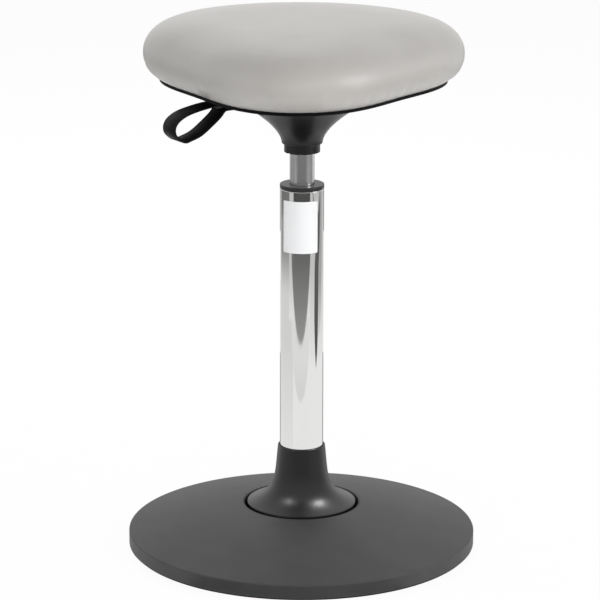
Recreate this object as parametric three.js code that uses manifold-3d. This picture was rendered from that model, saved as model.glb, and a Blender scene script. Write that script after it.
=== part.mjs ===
// A perch stool that tilts on its base: a heavy round foot, a chromed gas-lift column standing in a
// rubber mount, and an upholstered seat with a pull strap. Millimetres, +Z up, the seat's front is -Y.
import * as THREE from 'three'
import { mergeVertices } from 'three/addons/utils/BufferGeometryUtils.js'
import Module from 'manifold-3d'

const wasm = await Module()
wasm.setup()

// Clearances
const gap = 0.3
const overrun = 1

// Facets on turned pieces
const discFacets = 48
const roundFacets = 32
const innerFacets = 24
const smallFacets = 16
const screwFacets = 10

// Foot
const baseRadius = 200
const padThickness = 4.5
const padEdgeThickness = 2
const padInset = 2.5
const rimHeight = 18
const rimChamfer = 1.2
const coverWall = 3.5
const hubHoleRadius = 66.2
const hubLipHeight = 49.5
const domeRise = 3
const collarDepth = 13
const collarWall = 2.5
const ribCount = 8
const ribThickness = 2.4
const ribSideGap = 3
const weightThickness = 8
const weightInset = 10
const weightHoleRadius = 30
const plateScrewCount = 4
const plateScrewInset = 60
const bossRadius = 6.5

// Rubber mount and its steel cup
const cupWall = 3
const cupInnerRadius = 46
const cupHeight = 27
const cupFlangeRadius = 66
const hubBoltCircle = 58
const hubBoltCount = 4
const mountRise = 1
const mountHeight = 26
const mountWaist = 3

// Column socket
const socketCoreRadius = 22
const socketFoot = 15.5
const socketShoulder = 48.5
const socketFloor = 3
const socketDepth = 17
const socketWall = 3

// Column tube, bush and cap
const tubeRadius = 25
const tubeWall = 2
const tubeTop = 422.5
const bushLength = 80
const capHeight = 4.5
const capSkirt = 6
const capSkirtWall = 3.5
const capOverhang = 0.2
const labelWidthAngle = 98
const labelTurn = -2.3
const labelHeight = 60
const labelFoot = 351.4
const labelThickness = 0.25

// Hub cone that hides the mount
const coneTop = 119
const coneLipRadius = 27.2
const coneTaper = 6.1
const coneRadius = 62.5
const coneEdge = 3.5
const coneWall = 2
const coneFlarePower = 6
const coneProud = 0.8

// Thrust bearing at the foot of the tube
const tubeBaseThickness = 4
const tubeBaseRise = 10
const washerThickness = 1.5
const washerRadius = 13
const ballRadius = 1.6
const ballCircle = 9
const ballCount = 8
const cageThickness = 1.4
const cageHalfWidth = 2

// Gas spring
const rodRadius = 5
const rodNeckRadius = 4
const rodTail = 3
const clipThickness = 1.4
const clipGrooveDepth = 0.8
const clipRadius = 7
const clipMouth = 5
const bumperHeight = 10
const bumperRadius = 12
const liftStroke = 255
const cylinderRadius = 14
const cylinderWall = 1.6
const cylinderTop = 512.5
const cylinderCrimp = 3.4
const cylinderEndWall = 3
const taperLength = 44
const taperDrop = 0.6
const glandLength = 20
const sealThickness = 3
const pistonLength = 12
const pistonGap = 6
const pressureTubeRadius = 10.5
const pressureTubeWall = 1
const valveLength = 26
const valvePinRadius = 2
const valveButtonRadius = 3.6
const valveButtonHeight = 7
const valveTipRadius = 1.5
const valveTipHeight = 2.5
const valvePinDepth = 30
const valveTravel = 2.3

// Steel housing under the seat, with its tapered socket
const housingSocketWall = 3
const housingSocketLength = 47
const housingRadius = 38
const housingWall = 2.5
const housingFlangeRadius = 75
const housingFlange = 3
const seatScrewInset = 15
const seatScrewCount = 4
const seatScrewHead = 2.2

// Covers under the seat
const collarRingRadius = 20.4
const collarRingHeight = 9.7
const collarNotchCount = 8
const collarNotchDepth = 1.2
const collarNotchWidth = 3
const trumpetFootRadius = 23
const trumpetFoot = 474.5
const trumpetSpread = 52
const trumpetWall = 2.2
const trumpetFlare = 73.3
const trumpetFlarePower = 1.71

// Seat: a rounded triangle, its corner to the front
const seatRadius = 175.2
const seatLengthLobe = 1.7
const seatCornerLobe = 14.5
const seatSquareLobe = 5
const seatFacets = 48
const seatWaist = 573.5
const crownHeight = 44.5
const crownPower = 6.2
const crownRound = 1.98
const crownSpread = 0.7
const underDrop = 30.3
const underInset = 29.2
const upholstery = 1.2
const hemWidth = 22
const boardThickness = 10
const boardInset = 1.5
const panFloor = 536
const panFlatMargin = 2
const panRise = 6.2
const panWall = 2.5
const panLap = 16.2
const panRimRise = 3.4
const panHoleGap = 2
const panScrewShare = 0.14
const panScrewCount = 3
const panScrewStart = -70
const panBossRadius = 5

// Release lever and strap, in a frame whose +X runs along the lever
const leverHeading = 217.5
const leverWidth = 12
const leverThickness = 3.5
const leverPivotInset = 12
const leverPinRadius = 2.5
const leverSleeve = 3
const leverSleeveLength = 18
const leverTail = 8
const leverShoulder = 10
const leverInset = 58.2
const leverTab = 27
const leverCrank = 8.3
const leverSwing = 5
const slotGap = 1
const strapWidth = 25
const strapThickness = 2.4
const strapLap = 21
const strapOverhang = 1.3
const strapDrop = 37
const strapSteps = 32
const rivetInset = 13
const rivetRadius = 2
const rivetHeadRadius = 4.5
const rivetHead = 1

// The hanging loop, as shares of the strap's reach past its start and of its drop, from the top leaf on
const strapLoopShares = [
  [0, 0],
  [0.21, 0],
  [0.447, 0.031],
  [0.746, 0.147],
  [0.908, 0.3],
  [0.985, 0.491],
  [0.983, 0.72],
  [0.9, 0.91],
  [0.82, 0.985],
  [0.75, 0.96],
  [0.566, 0.829],
  [0.364, 0.539],
  [0.25, 0.345],
  [0.193, 0.212],
]

// Fasteners
const plateScrew = { head: 5, headHeight: 3, shank: 2.2, length: 14 }
const hubBolt = { head: 7.5, headHeight: 5.3, shank: 3.7, length: 9 }
const seatScrew = { head: 5.5, headHeight: seatScrewHead, shank: 3, length: 12 }
const panScrew = { head: 4, headHeight: 1.8, shank: 1.75, length: 17 }
const nutBarrelWall = 1.3
const nutFlangeRadius = 9
const nutFlange = 1.3

const stool = new THREE.Group()
const leverFrame = new THREE.Group()
leverFrame.rotation.z = THREE.MathUtils.degToRad(leverHeading)
stool.add(leverFrame)

// Solids: a closed geometry goes to the solid library for joins and cuts, and comes back
function toSolid(geometry) {
  const bare = geometry.clone()
  bare.deleteAttribute('normal')
  bare.deleteAttribute('uv')
  const merged = mergeVertices(bare)
  const index = merged.getIndex().array
  const triangles = []
  for (let i = 0; i < index.length; i += 3) {
    const corners = [index[i], index[i + 1], index[i + 2]]
    if (new Set(corners).size === 3) {
      triangles.push(...corners)
    }
  }
  const places = new Float32Array(merged.getAttribute('position').array)
  const mesh = new wasm.Mesh({ numProp: 3, vertProperties: places, triVerts: new Uint32Array(triangles) })
  return new wasm.Manifold(mesh)
}

function toGeometry(solid) {
  const mesh = solid.getMesh()
  const geometry = new THREE.BufferGeometry()
  geometry.setAttribute('position', new THREE.BufferAttribute(mesh.vertProperties, 3))
  geometry.setIndex(new THREE.BufferAttribute(mesh.triVerts, 1))
  return geometry
}

function joined(first, ...others) {
  const whole = others.reduce((sum, other) => sum.add(toSolid(other)), toSolid(first))
  return toGeometry(whole)
}

function cut(first, ...tools) {
  const rest = tools.reduce((sum, tool) => sum.subtract(toSolid(tool)), toSolid(first))
  return toGeometry(rest)
}

function common(first, second) {
  return toGeometry(toSolid(first).intersect(toSolid(second)))
}

// A closed profile of [radius, height] points turned about the Z axis; the first facet corner is at the front
function turned(profile, facets = roundFacets) {
  const points = profile.map(([radius, height]) => new THREE.Vector2(radius, height))
  if (THREE.ShapeUtils.area(points) < 0) {
    points.reverse()
  }
  points.push(points[0].clone())
  const geometry = new THREE.LatheGeometry(points, facets)
  geometry.rotateX(Math.PI / 2)
  return toGeometry(toSolid(geometry))
}

function rod(radius, low, high, facets = smallFacets) {
  return turned([[0, low], [radius, low], [radius, high], [0, high]], facets)
}

function ring(inner, outer, low, high, facets = roundFacets) {
  return turned([[inner, low], [outer, low], [outer, high], [inner, high]], facets)
}

// A bar along X, given by its ends, its width across Y and its two heights
function bar(start, end, width, low, high) {
  const geometry = new THREE.BoxGeometry(end - start, width, high - low)
  return geometry.translate((start + end) / 2, 0, (low + high) / 2)
}

function circlePlaces(count, radius, startDegrees = 0) {
  const places = []
  for (let i = 0; i < count; i++) {
    const angle = THREE.MathUtils.degToRad(startDegrees) + (i * 2 * Math.PI) / count
    places.push({ x: radius * Math.cos(angle), y: radius * Math.sin(angle), angle })
  }
  return places
}

function addPiece(name, geometry, finish, group = stool) {
  const mesh = new THREE.Mesh(geometry, finish())
  mesh.name = name
  group.add(mesh)
}

// Finishes
const metal = (color, roughness) => () => new THREE.MeshStandardMaterial({ color, roughness, metalness: 1 })
const plain = (color, roughness) => () => new THREE.MeshStandardMaterial({ color, roughness, metalness: 0 })
const chrome = metal(0xd8d8d8, 0.08)
const brightSteel = metal(0xa9abad, 0.25)
const zincSteel = metal(0x9a9c9e, 0.4)
const blackSteel = plain(0x2a2b2c, 0.5)
const brass = metal(0xb08d57, 0.35)
const footPlastic = plain(0x55575a, 0.75)
const blackPlastic = plain(0x262728, 0.45)
const bearingPlastic = plain(0xdedbd2, 0.5)
const blackRubber = plain(0x1c1c1d, 0.85)
const upholsteryGrey = plain(0xb5b2af, 0.45)
const foamYellow = plain(0xd9cfa8, 0.95)
const plywood = plain(0xc09a6b, 0.7)
const blackLeather = plain(0x1b1b1c, 0.55)
const labelWhite = plain(0xe9eaec, 0.4)

// A screw with its head's seat at height zero, the shank going down
function screw(size, headFacets = screwFacets) {
  const head = rod(size.head, 0, size.headHeight, headFacets)
  return joined(head, rod(size.shank, -size.length, size.headHeight / 2, screwFacets))
}

// Foot heights
const footFloor = padEdgeThickness + gap
const weightFloor = padThickness + gap
const weightTop = weightFloor + weightThickness
const padRadius = baseRadius - padInset
const weightRadius = baseRadius - coverWall - weightInset

// The cover's top line, from the rim to the hub hole, moved in by a depth
function domeLine(depth) {
  const rim = new THREE.Vector2(baseRadius - rimChamfer - depth, rimHeight - depth)
  const lip = new THREE.Vector2(hubHoleRadius, hubLipHeight - depth)
  const middle = rim.clone().add(lip).multiplyScalar(0.5)
  middle.y += 2 * domeRise
  const line = new THREE.QuadraticBezierCurve(rim, middle, lip)
  return line.getPoints(3).map((point) => [point.x, point.y])
}

function addFoot() {
  addPiece('floor_pad', turned([
    [0, 0],
    [padRadius, 0],
    [padRadius, padEdgeThickness],
    [weightRadius, padEdgeThickness],
    [weightRadius, padThickness],
    [0, padThickness],
  ], discFacets), blackRubber)

  const shell = turned([
    [baseRadius - coverWall, footFloor],
    [baseRadius, footFloor],
    [baseRadius, rimHeight - rimChamfer],
    ...domeLine(0),
    [hubHoleRadius, hubLipHeight - collarDepth],
    [hubHoleRadius + collarWall, hubLipHeight - collarDepth],
    [hubHoleRadius + collarWall, hubLipHeight - coverWall],
    ...domeLine(coverWall).reverse().slice(1),
  ], discFacets)
  const underDome = turned([
    [hubHoleRadius + collarWall, weightTop + gap],
    [baseRadius - coverWall / 2, weightTop + gap],
    ...domeLine(coverWall / 2).slice(0, -1),
    [hubHoleRadius + collarWall, hubLipHeight - coverWall / 2],
  ], discFacets)
  const rib = bar(hubHoleRadius, baseRadius - ribSideGap, ribThickness, weightTop, hubLipHeight)
  const ribs = circlePlaces(ribCount, 1).map(({ angle }) => rib.clone().rotateZ(angle))
  const screwPlaces = circlePlaces(plateScrewCount, baseRadius - plateScrewInset, 180 / ribCount)
  const bosses = screwPlaces.map(({ x, y }) => {
    return rod(bossRadius, weightTop, hubLipHeight).translate(x, y, 0)
  })
  const inner = common(joined(ribs[0], ...ribs.slice(1), ...bosses), underDome)
  const shankHoles = screwPlaces.map(({ x, y }) => {
    const top = weightFloor + plateScrew.headHeight + plateScrew.length + 2 * gap
    return rod(plateScrew.shank + gap, 0, top, screwFacets).translate(x, y, 0)
  })
  addPiece('base_cover', cut(joined(shell, inner), ...shankHoles), footPlastic)

  const plate = ring(weightHoleRadius, weightRadius, weightFloor, weightTop)
  const headPockets = screwPlaces.map(({ x, y }) => {
    const top = weightFloor + 2 * gap + plateScrew.headHeight
    return rod(plateScrew.head + gap, weightFloor - overrun, top, screwFacets).translate(x, y, 0)
  })
  const boltPlaces = circlePlaces(hubBoltCount, hubBoltCircle)
  const boltHoles = boltPlaces.map(({ x, y }) => {
    return rod(hubBolt.shank + gap, 0, cupHeight, screwFacets).translate(x, y, 0)
  })
  addPiece('weight_plate', cut(plate, ...shankHoles, ...headPockets, ...boltHoles), blackSteel)

  screwPlaces.forEach(({ x, y }, i) => {
    const piece = screw(plateScrew).rotateX(Math.PI)
    const seat = weightFloor + gap + plateScrew.headHeight
    addPiece(`plate_screw_${i + 1}`, piece.translate(x, y, seat), zincSteel)
  })

  const flangeFloor = weightTop + gap
  const flangeTop = flangeFloor + cupWall
  const cup = turned([
    [cupInnerRadius, flangeFloor],
    [cupFlangeRadius, flangeFloor],
    [cupFlangeRadius, flangeTop],
    [cupInnerRadius + cupWall, flangeTop],
    [cupInnerRadius + cupWall, flangeFloor + cupHeight],
    [cupInnerRadius, flangeFloor + cupHeight],
  ], innerFacets)
  addPiece('hub_cup', cut(cup, ...boltHoles), blackSteel)
  boltPlaces.forEach(({ x, y }, i) => {
    addPiece(`hub_bolt_${i + 1}`, screw(hubBolt, 6).translate(x, y, flangeTop + gap), zincSteel)
  })
}

// The rubber is bonded between the cup and the column socket, thinner between them than at either
function addMount() {
  const foot = weightTop + gap + cupWall + mountRise
  const inner = socketCoreRadius + gap
  const outer = cupInnerRadius - gap
  const middle = (inner + outer) / 2
  addPiece('rubber_mount', turned([
    [inner, foot],
    [middle, foot + mountWaist],
    [outer, foot],
    [outer, foot + mountHeight - mountWaist],
    [middle, foot + mountHeight - 2 * mountWaist],
    [inner, foot + mountHeight],
  ], innerFacets), blackRubber)
}

// Column heights
const tubeFoot = socketShoulder + socketFloor + gap
const tubeInner = tubeRadius - tubeWall
const socketTop = socketShoulder + socketFloor + socketDepth
const tubeBaseFloor = tubeFoot + tubeBaseRise
const tubeBaseTop = tubeBaseFloor + tubeBaseThickness
const lowerWasherTop = tubeBaseTop + gap + washerThickness
const ballHeight = lowerWasherTop + gap + ballRadius
const upperWasherFloor = ballHeight + ballRadius + gap
const upperWasherTop = upperWasherFloor + washerThickness
const bumperTop = upperWasherTop + gap + bumperHeight
const cylinderFoot = bumperTop + gap
const columnTop = tubeTop + gap + capHeight
const bushTop = tubeTop - capSkirt
const bushBore = cylinderRadius + gap

function addColumn() {
  const bore = tubeRadius + gap
  addPiece('column_socket', turned([
    [0, socketFoot],
    [socketCoreRadius, socketFoot],
    [socketCoreRadius, socketShoulder],
    [bore + socketWall, socketShoulder],
    [bore + socketWall, socketTop],
    [bore, socketTop],
    [bore, socketShoulder + socketFloor],
    [0, socketShoulder + socketFloor],
  ], innerFacets), blackSteel)
  addPiece('column_tube', ring(tubeInner, tubeRadius, tubeFoot, tubeTop), chrome)
  addPiece('guide_bush', ring(
    bushBore, tubeInner - gap, bushTop - bushLength, bushTop - gap, innerFacets,
  ), bearingPlastic)
  const skirtOuter = tubeInner - gap
  addPiece('cap_ring', turned([
    [skirtOuter - capSkirtWall, bushTop],
    [skirtOuter, bushTop],
    [skirtOuter, tubeTop + gap],
    [tubeRadius + capOverhang, tubeTop + gap],
    [tubeRadius + capOverhang, columnTop],
    [bushBore, columnTop],
    [bushBore, tubeTop + gap],
    [skirtOuter - capSkirtWall, tubeTop + gap],
  ]), blackPlastic)
  addPiece('tube_base', ring(
    rodNeckRadius + gap, tubeInner - gap, tubeBaseFloor, tubeBaseTop, smallFacets,
  ), zincSteel)
  const washer = ring(rodNeckRadius + gap, washerRadius, tubeBaseTop + gap, lowerWasherTop, smallFacets)
  addPiece('bearing_washer_lower', washer, brightSteel)
  addPiece('column_label', label(), labelWhite)
}

// A blank paper label wrapped round the front of the tube
function label() {
  const half = THREE.MathUtils.degToRad(labelWidthAngle) / 2
  const front = -Math.PI / 2
  const inner = tubeRadius + gap
  const sheet = new THREE.Shape()
  sheet.absarc(0, 0, inner + labelThickness, front - half, front + half, false)
  sheet.absarc(0, 0, inner, front + half, front - half, true)
  const geometry = new THREE.ExtrudeGeometry(sheet, {
    depth: labelHeight,
    bevelEnabled: false,
    curveSegments: 6,
  })
  return geometry.rotateZ(THREE.MathUtils.degToRad(labelTurn)).translate(0, 0, labelFoot)
}

// The cone's outline: a slight taper, then a flare to its foot, moved in by a depth
function coneLine(depth, steps) {
  const foot = hubLipHeight + coneProud
  const line = []
  for (let i = 0; i <= steps; i++) {
    const share = 1 - (1 - i / steps) ** 2
    const flare = (coneRadius - coneLipRadius - coneTaper) * share ** coneFlarePower
    line.push([
      coneLipRadius + coneTaper * share + flare - depth,
      coneTop - (coneTop - foot) * share - depth,
    ])
  }
  return line
}

function addCone() {
  const outer = coneLine(0, 7)
  const foot = hubLipHeight + coneProud - coneEdge
  const bore = tubeRadius + gap
  const ceiling = coneTop - coneWall
  const inner = coneLine(coneWall, 5).filter(([radius, height]) => radius > bore && height < ceiling)
  addPiece('hub_cone', turned([
    ...outer,
    [coneRadius, foot],
    [coneRadius - coneWall, foot],
    ...inner.reverse(),
    [bore, inner.at(-1)[1]],
    [bore, coneTop],
  ]), blackPlastic)
}

function addBearing() {
  const half = cageThickness / 2
  const race = ring(
    ballCircle - cageHalfWidth, ballCircle + cageHalfWidth, ballHeight - half, ballHeight + half, smallFacets,
  )
  const balls = circlePlaces(ballCount, ballCircle).map(({ x, y }) => {
    return new THREE.SphereGeometry(ballRadius, 6, 5).translate(x, y, ballHeight)
  })
  addPiece('ball_cage', joined(race, ...balls), brass)
}

// Gas spring heights
const glandFloor = cylinderFoot + cylinderWall + gap
const glandTop = glandFloor + sealThickness + gap + glandLength
const pistonFoot = glandTop + liftStroke + pistonGap
const rodTop = pistonFoot + pistonLength
const rodFoot = tubeBaseFloor - clipThickness - 2 * gap - rodTail
const cylinderBore = cylinderRadius - cylinderWall
const valveTop = cylinderTop - cylinderEndWall - gap
const valveFoot = valveTop - valveLength

function addRod() {
  const grooveTop = tubeBaseFloor - gap
  const grooveFloor = grooveTop - clipThickness - 2 * gap
  const grooveRadius = rodNeckRadius - clipGrooveDepth
  addPiece('piston_rod', turned([
    [0, rodFoot],
    [rodNeckRadius, rodFoot],
    [rodNeckRadius, grooveFloor],
    [grooveRadius, grooveFloor],
    [grooveRadius, grooveTop],
    [rodNeckRadius, grooveTop],
    [rodNeckRadius, upperWasherTop + gap],
    [rodRadius, upperWasherTop + gap],
    [rodRadius, pistonFoot - gap],
    [rodNeckRadius, pistonFoot - gap],
    [rodNeckRadius, rodTop],
    [0, rodTop],
  ], smallFacets), brightSteel)
  const clip = ring(grooveRadius + gap, clipRadius, grooveFloor + gap, grooveTop - gap, smallFacets)
  addPiece('rod_clip', cut(clip, bar(0, clipRadius + overrun, clipMouth, rodFoot, tubeBaseFloor)), zincSteel)
  const washer = ring(rodNeckRadius + gap, washerRadius, upperWasherFloor, upperWasherTop, smallFacets)
  addPiece('bearing_washer_upper', washer, brightSteel)
  addPiece('bump_ring', ring(
    rodRadius + gap, bumperRadius, upperWasherTop + gap, bumperTop, smallFacets,
  ), blackRubber)
  const pistonRadius = pressureTubeRadius - pressureTubeWall - gap
  addPiece('piston', ring(rodNeckRadius + gap, pistonRadius, pistonFoot, rodTop, smallFacets), brass)
}

function addSpring() {
  addPiece('cylinder', turned([
    [cylinderBore - cylinderCrimp, cylinderFoot],
    [cylinderRadius, cylinderFoot],
    [cylinderRadius, cylinderTop - taperLength],
    [cylinderRadius - taperDrop, cylinderTop],
    [valveButtonRadius + gap, cylinderTop],
    [valveButtonRadius + gap, valveTop + gap],
    [cylinderBore - taperDrop, valveTop + gap],
    [cylinderBore - taperDrop, cylinderTop - taperLength],
    [cylinderBore, cylinderTop - taperLength - taperDrop],
    [cylinderBore, cylinderFoot + cylinderWall],
    [cylinderBore - cylinderCrimp, cylinderFoot + cylinderWall],
  ], innerFacets), chrome)
  const inner = rodRadius + gap
  const outer = cylinderBore - gap
  addPiece('rod_seal', ring(inner, outer, glandFloor, glandFloor + sealThickness, innerFacets), blackRubber)
  const glandStart = glandFloor + sealThickness + gap
  addPiece('rod_gland', ring(inner, outer, glandStart, glandTop, innerFacets), bearingPlastic)
  const tubeInnerWall = pressureTubeRadius - pressureTubeWall
  addPiece('pressure_tube', ring(
    tubeInnerWall, pressureTubeRadius, glandTop + gap, valveFoot - gap, innerFacets,
  ), brightSteel)
  addPiece('valve_body', ring(
    valvePinRadius + gap, cylinderBore - taperDrop - gap, valveFoot, valveTop, innerFacets,
  ), brass)
  const buttonTop = cylinderTop + valveButtonHeight
  const buttonFoot = cylinderTop + valveTravel + gap
  addPiece('valve_pin', turned([
    [0, cylinderTop - valvePinDepth],
    [valvePinRadius, cylinderTop - valvePinDepth],
    [valvePinRadius, buttonFoot],
    [valveButtonRadius, buttonFoot],
    [valveButtonRadius, buttonTop - valveTipHeight],
    [valveTipRadius, buttonTop],
    [0, buttonTop],
  ], smallFacets), brightSteel)
}

// Seat heights
const seatFloor = seatWaist - underDrop
const boardFloor = seatFloor + upholstery + gap
const boardTop = boardFloor + boardThickness
const housingTop = boardFloor - gap
const flangeFloor = housingTop - housingFlange
const housingFloor = cylinderTop - housingWall
const leverFloor = cylinderTop + valveButtonHeight + gap
const leverCentre = leverFloor + leverThickness / 2
const leverPivot = housingRadius - leverPivotInset
const leverBendStart = housingRadius + leverShoulder
const leverReach = seatRadius - leverInset
const leverBendEnd = leverReach - leverTab
const rivetReach = leverReach - rivetInset
const strapStart = leverReach - strapLap
const strapReach = seatRadius + strapOverhang
const seatScrewStart = leverHeading + 180 / seatScrewCount
const seatScrewCircle = housingFlangeRadius - seatScrewInset
const trumpetRimRadius = housingRadius + trumpetSpread
const panFlatRadius = trumpetRimRadius + panFlatMargin

// The drop of a point on the lever, at its full swing, by its distance from the valve
const leverDrop = (reach) => (reach + leverPivot) * Math.tan(THREE.MathUtils.degToRad(leverSwing))

function addHousing() {
  const boreTop = cylinderRadius - taperDrop + gap
  const boreFoot = cylinderRadius + gap
  const socketOuter = boreFoot + housingSocketWall - gap
  const cupInner = housingRadius - housingWall
  const cup = turned([
    [boreFoot, cylinderTop - housingSocketLength],
    [socketOuter, cylinderTop - housingSocketLength],
    [socketOuter, housingFloor],
    [housingRadius, housingFloor],
    [housingRadius, flangeFloor],
    [housingFlangeRadius, flangeFloor],
    [housingFlangeRadius, housingTop],
    [cupInner, housingTop],
    [cupInner, cylinderTop],
    [boreTop, cylinderTop],
    [boreFoot, cylinderTop - taperLength],
  ])
  const slot = bar(
    cupInner - overrun - housingWall, housingRadius + overrun, leverWidth + 2 * slotGap,
    leverFloor - leverDrop(housingRadius) - slotGap, leverFloor + leverThickness + gap,
  )
  const pinHole = rod(leverPinRadius + gap, -housingRadius, housingRadius)
  pinHole.rotateX(Math.PI / 2).translate(-leverPivot, 0, leverCentre)
  const screwHoles = circlePlaces(seatScrewCount, seatScrewCircle, 180 / seatScrewCount).map(({ x, y }) => {
    const hole = rod(seatScrew.shank + gap, flangeFloor - overrun, housingTop + overrun, screwFacets)
    return hole.translate(x, y, 0)
  })
  addPiece('seat_housing', cut(cup, slot, pinHole, ...screwHoles), blackSteel, leverFrame)

  const collarTop = trumpetFoot - gap
  const collar = ring(socketOuter + gap, collarRingRadius, collarTop - collarRingHeight, collarTop)
  const notch = bar(
    collarRingRadius - collarNotchDepth, collarRingRadius + overrun, collarNotchWidth,
    collarTop - collarRingHeight - overrun, collarTop - collarRingHeight / 3,
  )
  const notches = circlePlaces(collarNotchCount, 1, 180 / collarNotchCount).map(({ angle }) => {
    return notch.clone().rotateZ(angle)
  })
  addPiece('collar_ring', cut(collar, ...notches), blackPlastic)
  addTrumpet(socketOuter + gap)
}

// The trumpet's outline, from its foot up its flare to its straight rim under the pan, moved in by a depth
function trumpetLine(depth) {
  const rim = panFloor - gap
  const flareEnd = ((trumpetRimRadius - trumpetFootRadius) / trumpetFlare) ** (1 / trumpetFlarePower)
  const steps = 7
  const line = []
  for (let i = 0; i <= steps; i++) {
    const share = flareEnd * (i / steps)
    const radius = trumpetFootRadius + trumpetFlare * share ** trumpetFlarePower
    line.push([radius - depth, trumpetFoot + (rim - trumpetFoot) * share])
  }
  line.push([trumpetRimRadius - depth, rim])
  return line
}

function addTrumpet(bore) {
  const inner = trumpetLine(trumpetWall * Math.SQRT2).slice(1)
  const shell = turned([
    [bore, trumpetFoot],
    ...trumpetLine(0),
    ...inner.reverse(),
    [bore, inner.at(-1)[1]],
  ])
  const notch = bar(
    housingRadius + gap, trumpetRimRadius + overrun, leverWidth + 2 * slotGap,
    leverFloor - leverDrop(leverBendStart) - gap, panFloor + overrun,
  )
  addPiece('trumpet_cover', cut(shell, notch), blackPlastic, leverFrame)
}

// Seat outline: how far the edge stands from the column, as a share of its mean, by the angle from the front
function seatShare(angle) {
  const lobes = seatLengthLobe * Math.cos(2 * angle) + seatCornerLobe * Math.cos(3 * angle)
  return 1 + (lobes + seatSquareLobe * Math.cos(4 * angle)) / seatRadius
}

// A turned solid pressed into the seat's outline; radii in the profile are mean radii
function seatShaped(profile) {
  const geometry = turned(profile, seatFacets)
  const places = geometry.getAttribute('position')
  for (let i = 0; i < places.count; i++) {
    const share = seatShare(Math.atan2(places.getX(i), -places.getY(i)))
    places.setXY(i, places.getX(i) * share, places.getY(i) * share)
  }
  return geometry
}

// The cushion's skin from its drawn-in foot, round its waist, to the crown, moved in by a depth
function cushionLine(depth, underSteps, crownSteps) {
  const waist = seatRadius - depth
  const line = []
  for (let i = 0; i <= underSteps; i++) {
    const turn = (Math.PI / 2) * (1 - i / underSteps)
    const radius = seatRadius - underInset + (underInset - depth) * Math.cos(turn)
    line.push([radius, seatWaist - (underDrop - depth) * Math.sin(turn)])
  }
  for (let i = 1; i <= crownSteps; i++) {
    const share = Math.cos((Math.PI / 2) * (i / crownSteps)) ** crownSpread
    const rise = (crownHeight - depth) * Math.max(0, 1 - share ** crownPower) ** (1 / crownRound)
    line.push([waist * (i === crownSteps ? 0 : share), seatWaist + rise])
  }
  return line
}

function addCushion() {
  const foot = seatRadius - underInset
  const hemEdge = foot - hemWidth
  addPiece('seat_cover', seatShaped([
    [hemEdge, seatFloor],
    ...cushionLine(0, 4, 7),
    ...cushionLine(upholstery, 2, 3).reverse(),
    [hemEdge, seatFloor + upholstery],
  ]), upholsteryGrey)
  const boardEdge = foot - boardInset
  addPiece('seat_foam', seatShaped([
    [0, boardTop + gap],
    [boardEdge + gap, boardTop + gap],
    [boardEdge + gap, seatFloor + upholstery + gap],
    ...cushionLine(upholstery + gap, 2, 3),
  ]), foamYellow)
}

function addBoard() {
  const boardEdge = seatRadius - underInset - boardInset
  const board = seatShaped([[0, boardFloor], [boardEdge, boardFloor], [boardEdge, boardTop], [0, boardTop]])
  const barrel = seatScrew.shank + gap + nutBarrelWall
  const nutFloor = boardTop - nutFlange - gap
  const places = circlePlaces(seatScrewCount, seatScrewCircle, seatScrewStart)
  const nutHoles = places.flatMap(({ x, y }) => [
    rod(barrel + gap, boardFloor - overrun, boardTop + overrun, screwFacets).translate(x, y, 0),
    rod(nutFlangeRadius + gap, nutFloor - gap, boardTop + overrun, screwFacets).translate(x, y, 0),
  ])
  const hemEdge = seatRadius - underInset - hemWidth
  const clear = Math.max(housingFlangeRadius + panScrew.shank, trumpetRimRadius + panScrew.head)
  const panScrewCircle = clear + (hemEdge - clear) * panScrewShare
  const panPlaces = circlePlaces(panScrewCount, panScrewCircle, panScrewStart)
  const panHoles = panPlaces.map(({ x, y }) => {
    const top = panFloor + panScrew.length + gap
    return rod(panScrew.shank + gap, boardFloor - overrun, top, screwFacets).translate(x, y, 0)
  })
  addPiece('seat_board', cut(board, ...nutHoles, ...panHoles), plywood)
  places.forEach(({ x, y }, i) => {
    const nut = turned([
      [seatScrew.shank + gap, boardFloor],
      [barrel, boardFloor],
      [barrel, nutFloor],
      [nutFlangeRadius, nutFloor],
      [nutFlangeRadius, nutFloor + nutFlange],
      [seatScrew.shank + gap, nutFloor + nutFlange],
    ], screwFacets)
    addPiece(`tee_nut_${i + 1}`, nut.translate(x, y, 0), zincSteel)
    const bolt = screw(seatScrew).rotateX(Math.PI).translate(x, y, flangeFloor - gap)
    addPiece(`seat_screw_${i + 1}`, bolt, zincSteel)
  })
  panPlaces.forEach(({ x, y }, i) => {
    const bolt = screw(panScrew).rotateX(Math.PI).translate(x, y, panFloor - gap)
    addPiece(`pan_screw_${i + 1}`, bolt, blackSteel)
  })
  addPan(panPlaces)
}

// The pan's underside: flat round the housing, then rising to its rim, lifted by a height
function panLine(lift) {
  const edge = seatRadius - underInset + panLap
  const steps = 3
  const line = []
  for (let i = 0; i <= steps; i++) {
    const share = i / steps
    line.push([panFlatRadius + (edge - panFlatRadius) * share, panFloor + panRise * share ** 2 + lift])
  }
  return line
}

function addPan(screwPlaces) {
  const edge = seatRadius - underInset + panLap
  const rimTop = seatFloor + panRimRise
  const dish = seatShaped([
    [0, panFloor],
    ...panLine(0),
    [edge, rimTop],
    [edge - panWall, rimTop],
    ...panLine(panWall).reverse().map(([radius, height]) => [Math.min(radius, edge - panWall), height]),
    [0, panFloor + panWall],
  ])
  const bosses = screwPlaces.map(({ x, y }) => {
    return rod(panBossRadius, panFloor + panWall / 2, housingTop).translate(x, y, 0)
  })
  const holes = screwPlaces.map(({ x, y }) => {
    return rod(panScrew.shank + gap, panFloor - overrun, boardFloor, screwFacets).translate(x, y, 0)
  })
  const centre = rod(housingRadius + panHoleGap, panFloor - overrun, boardFloor, roundFacets)
  addPiece('seat_pan', cut(joined(dish, ...bosses), centre, ...holes), blackPlastic)
}

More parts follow.
